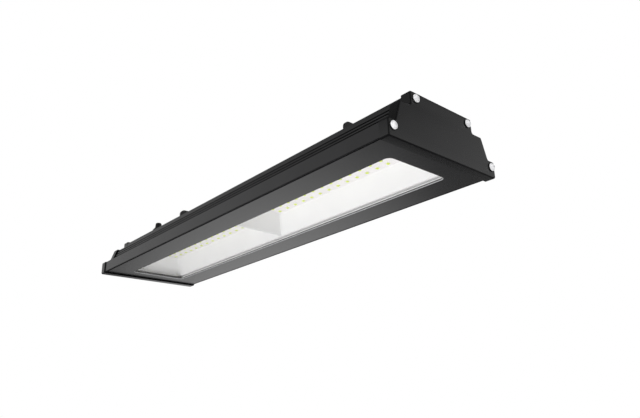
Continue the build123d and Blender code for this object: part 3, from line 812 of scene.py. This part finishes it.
@dataclass(frozen=True)
class Softbox:
    """A soft rectangular light for matt surfaces alone, which neither the camera nor gloss sees.

    Attributes:
        name: the light's name.
        place: its centre.
        size: its width and height.
        power: its power in watts.
    """

    name: str
    place: tuple[float, float, float]
    size: tuple[float, float]
    power: float

    def hang(self) -> None:
        """Hang the light so that it faces the object."""
        data = bpy.data.lights.new(self.name, "AREA")
        data.shape = "RECTANGLE"
        data.size, data.size_y = self.size
        data.energy = self.power
        light = bpy.data.objects.new(self.name, data)
        facing = Vector(self.place).to_track_quat("Z", "Y").to_matrix().to_4x4()
        light.matrix_world = Matrix.Translation(self.place) @ facing
        light.visible_camera = False
        light.visible_glossy = False
        bpy.context.scene.collection.objects.link(light)


@dataclass
class Studio:
    """Floor, lights, surroundings and the camera at the photograph's viewing angle.

    The room that shows in the lamp's gloss is a band of white walls round the horizon, under a dark
    ceiling and over a floor that is dim right below the lamp.

    Attributes:
        camera_place: the camera's place.
        yaw: heading of the view, in degrees from the X axis.
        pitch: how far the view looks up, in degrees.
        roll: how far the picture leans, in degrees.
        focal_pixels: focal length in pixels of the picture.
        image_width: width of the picture in pixels.
        sensor: width of the sensor in millimetres.
        nearest: distance from which the camera sees things.
        floor_height: height of the floor.
        floor_half: half of the floor's side.
        floor_colour: sRGB hex of the floor.
        walls: elevation in degrees and brightness of the room in the lamp's gloss, from below upwards.
        panel: where the bright panel lies that the frame mirrors, as a unit vector.
        panel_span: how closely a direction points at the panel where it starts and where it is brightest.
        panel_edge: brightness beside the panel, as a share of its middle.
        dark_side: where the room's dim wall lies, as a unit vector.
        dark_span: how closely a direction points at the dim wall where it starts and where it is darkest.
        dark_level: brightness of the dim wall, as a share of the others.
        plain: level of the even light from all round.
        lamps: the lights, the low one clear of the floor.
    """

    camera_place: tuple[float, float, float] = (0.60149, -0.42049, -0.22772)
    yaw: float = 138.682
    pitch: float = 19.836
    roll: float = -1.287
    focal_pixels: float = 605.7
    image_width: int = 640
    sensor: float = 36.0
    nearest: float = 0.02
    floor_height: float = -1.3
    floor_half: float = 14.0
    floor_colour: str = "f4f4f4"
    walls: tuple[tuple[float, float], ...] = (
        (-90.0, 0.04), (-40.0, 0.05), (-33.0, 0.15), (-27.0, 0.61), (-19.6, 0.87), (-6.0, 0.87),
        (0.0, 0.66), (19.0, 0.68), (26.0, 0.48), (37.0, 0.10), (90.0, 0.03))
    panel: tuple[float, float, float] = (-0.7904, 0.6126, 0.0)
    panel_span: tuple[float, float] = (0.9427, 1.0)
    panel_edge: float = 0.19
    dark_side: tuple[float, float, float] = (0.753, -0.658, 0.0)
    dark_span: tuple[float, float] = (0.45, 0.88)
    dark_level: float = 0.08
    plain: float = 0.78
    lamps: tuple[Softbox, ...] = (
        Softbox("key", (0.9, -0.7, 2.2), (2.0, 2.0), 45.0),
        Softbox("under_fill", (0.22, -0.75, -0.75), (0.9, 0.7), 9.5))

    def camera(self) -> None:
        """Stand the camera below the lamp's near end, looking up along it."""
        yaw, pitch, roll = (math.radians(a) for a in (self.yaw, self.pitch, self.roll))
        forward = Vector((math.cos(pitch) * math.cos(yaw), math.cos(pitch) * math.sin(yaw), math.sin(pitch)))
        level = forward.cross(Vector((0, 0, 1))).normalized()
        upright = level.cross(forward)
        right = level * math.cos(roll) + upright * math.sin(roll)
        up = upright * math.cos(roll) - level * math.sin(roll)
        turn_to = Matrix((right, up, -forward)).transposed().to_4x4()
        data = bpy.data.cameras.new("camera")
        data.sensor_width = self.sensor
        data.lens = self.focal_pixels / self.image_width * self.sensor
        data.clip_start = self.nearest
        eye = bpy.data.objects.new("camera", data)
        eye.matrix_world = Matrix.Translation(self.camera_place) @ turn_to
        bpy.context.scene.collection.objects.link(eye)
        bpy.context.scene.camera = eye

    def floor(self) -> None:
        """Lay a plain pale floor well below the lamp, which keeps the lamp's shadow."""
        form = bmesh.new()
        bmesh.ops.create_grid(form, x_segments=2, y_segments=2, size=self.floor_half)
        bmesh.ops.translate(form, vec=(0, 0, self.floor_height), verts=form.verts[:])
        mesh = bpy.data.meshes.new("floor")
        form.to_mesh(mesh)
        form.free()
        plane = bpy.data.objects.new("floor", mesh)
        bpy.context.scene.collection.objects.link(plane)
        mesh.materials.append(self.floor_material())

    def floor_material(self) -> bpy.types.Material:
        """Make the floor: pale and matt by itself, and the room's lower bands in the lamp's gloss.

        Returns:
            A node-based material that lights nothing.
        """
        material = bpy.data.materials.new("pale_floor")
        material.use_nodes = True
        material.cycles.emission_sampling = "NONE"
        shader = Shader(material.node_tree)
        place = shader.node("ShaderNodeNewGeometry").outputs["Position"]
        flat = shader.node("ShaderNodeVectorMath", {FIRST: place, SECOND: (1.0, 1.0, 0.0)},
                           operation="MULTIPLY").outputs["Vector"]
        reach = shader.node("ShaderNodeVectorMath", {FIRST: flat}, operation="LENGTH")
        share = shader.node("ShaderNodeMapRange", {
            "Value": reach.outputs["Value"], "From Max": self.floor_half})
        bands = shader.node("ShaderNodeValToRGB", {"Fac": share.outputs["Result"]})
        fill_stops(bands, [
            (min(1.0, self.floor_height / math.tan(math.radians(angle)) / self.floor_half), level)
            for angle, level in self.walls if angle < 0])
        heading = shader.node("ShaderNodeVectorMath", {FIRST: flat}, operation="NORMALIZE")
        towards = shader.node("ShaderNodeVectorMath", {
            FIRST: heading.outputs["Vector"], SECOND: self.panel}, operation="DOT_PRODUCT")
        lit = shader.node("ShaderNodeMapRange", {
            "Value": towards.outputs["Value"], "From Min": self.panel_span[0],
            "From Max": self.panel_span[1], "To Min": self.panel_edge})
        shown = shader.node("ShaderNodeEmission", {
            "Color": bands.outputs["Color"], "Strength": lit.outputs["Result"]})
        matt = shader.node("ShaderNodeBsdfDiffuse", {"Color": linear(self.floor_colour)})
        gloss = shader.node("ShaderNodeLightPath").outputs["Is Glossy Ray"]
        surface = shader.node("ShaderNodeMixShader", {
            SHARE: gloss, UNDER: matt.outputs["BSDF"], OVER: shown.outputs["Emission"]})
        shader.node("ShaderNodeOutputMaterial", {"Surface": surface.outputs["Shader"]})
        return material

    def world(self) -> None:
        """Surround the lamp: white to the camera, even light for matt surfaces, a banded room for gloss."""
        world = bpy.data.worlds.new("studio")
        bpy.context.scene.world = world
        world.use_nodes = True
        world.cycles.sampling_method = "NONE"
        shader = Shader(world.node_tree)
        place = shader.node("ShaderNodeTexCoord").outputs["Generated"]
        height = shader.node("ShaderNodeSeparateXYZ", {"Vector": place})
        share = shader.node("ShaderNodeMapRange", {"Value": height.outputs["Z"], "From Min": -1.0})
        bands = shader.node("ShaderNodeValToRGB", {"Fac": share.outputs["Result"]})
        fill_stops(bands, [((math.sin(math.radians(angle)) + 1) / 2, level) for angle, level in self.walls])
        towards = shader.node("ShaderNodeVectorMath", {FIRST: place, SECOND: self.dark_side},
                              operation="DOT_PRODUCT")
        dim = shader.node("ShaderNodeMapRange", {
            "Value": towards.outputs["Value"], "From Min": self.dark_span[0],
            "From Max": self.dark_span[1], "To Min": 1.0, "To Max": self.dark_level})
        room = shader.node("ShaderNodeBackground", {
            "Color": bands.outputs["Color"], "Strength": dim.outputs["Result"]})
        even = shader.node("ShaderNodeBackground", {"Color": WHITE, "Strength": self.plain})
        backdrop = shader.node("ShaderNodeBackground", {"Color": WHITE, "Strength": 1.0})
        path = shader.node("ShaderNodeLightPath")
        lit = shader.node("ShaderNodeMixShader", {
            SHARE: path.outputs["Is Glossy Ray"], UNDER: even.outputs["Background"],
            OVER: room.outputs["Background"]})
        seen = shader.node("ShaderNodeMath", {
            FIRST: path.outputs["Is Camera Ray"], SECOND: path.outputs["Is Transmission Ray"]},
            operation="MAXIMUM")
        shown = shader.node("ShaderNodeMixShader", {
            SHARE: seen.outputs["Value"], UNDER: lit.outputs["Shader"],
            OVER: backdrop.outputs["Background"]})
        shader.node("ShaderNodeOutputWorld", {"Surface": shown.outputs["Shader"]})

    def build(self) -> None:
        """Set the whole stage."""
        self.camera()
        self.floor()
        self.world()
        for lamp in self.lamps:
            lamp.hang()


def both(*stems: str) -> list[str]:
    """Name pieces that exist at both ends of the lamp.

    Args:
        stems: the pieces' names without their end.

    Returns:
        Each name with "near" and with "far".
    """
    return [f"{stem}_{end.tag}" for stem in stems for end in End]


def main() -> None:
    """Dress the lamp and set the stage."""
    logging.basicConfig(level=logging.INFO, format="%(name)s: %(message)s")
    dresser = Dresser()
    dresser.dress_nodes(POWDER_COAT, ["housing"])
    FrontPlate(dresser).build()
    dresser.dress_nodes(WINDOW_GLASS, ["window_glass"])
    dresser.dress_nodes(SILICONE, ["window_seal"])
    dresser.dress_nodes(FOAM_TAPE, ["frame_tape_left", "frame_tape_right"])
    dresser.dress_nodes(RUBBER, [*both("end_gasket"), "gland_seal", "gland_washer"])
    dresser.dress_nodes(GAP_PAD, both("thermal_pad"))
    dresser.dress_nodes(DRAWN_CASE, ["driver_left", "driver_right"])
    dresser.dress_nodes(MOULDED_BLOCK, ["terminal_block"])
    dresser.dress_nodes(ZINC, ["board_screws", "reflector_screws", "driver_screws", *both("hanger_nut")])
    shells = SmoothShells(dresser)
    shells.build(CAST_COAT, "cap_paint", both("end_cap"))
    shells.build(HANGER_COAT, "hanger_paint", both("hanger"))
    shells.build(STEEL_AND_PAINTED_SHINE, "stainless_steel", both("hanger_bolt", "hanger_washer"))
    shells.build(NYLON, "gland_plastic", ["gland_body", "gland_nut"])
    shells.build(REFLECTOR_COAT, "reflector_white", both("reflector"))
    screws, boards = CapScrews(dresser), DiodeBoards(dresser)
    for end in End:
        screws.build(end)
        boards.build(end)
    Studio().build()
    bpy.context.scene.view_settings.view_transform = "Standard"


if __name__ == "__main__":
    main()
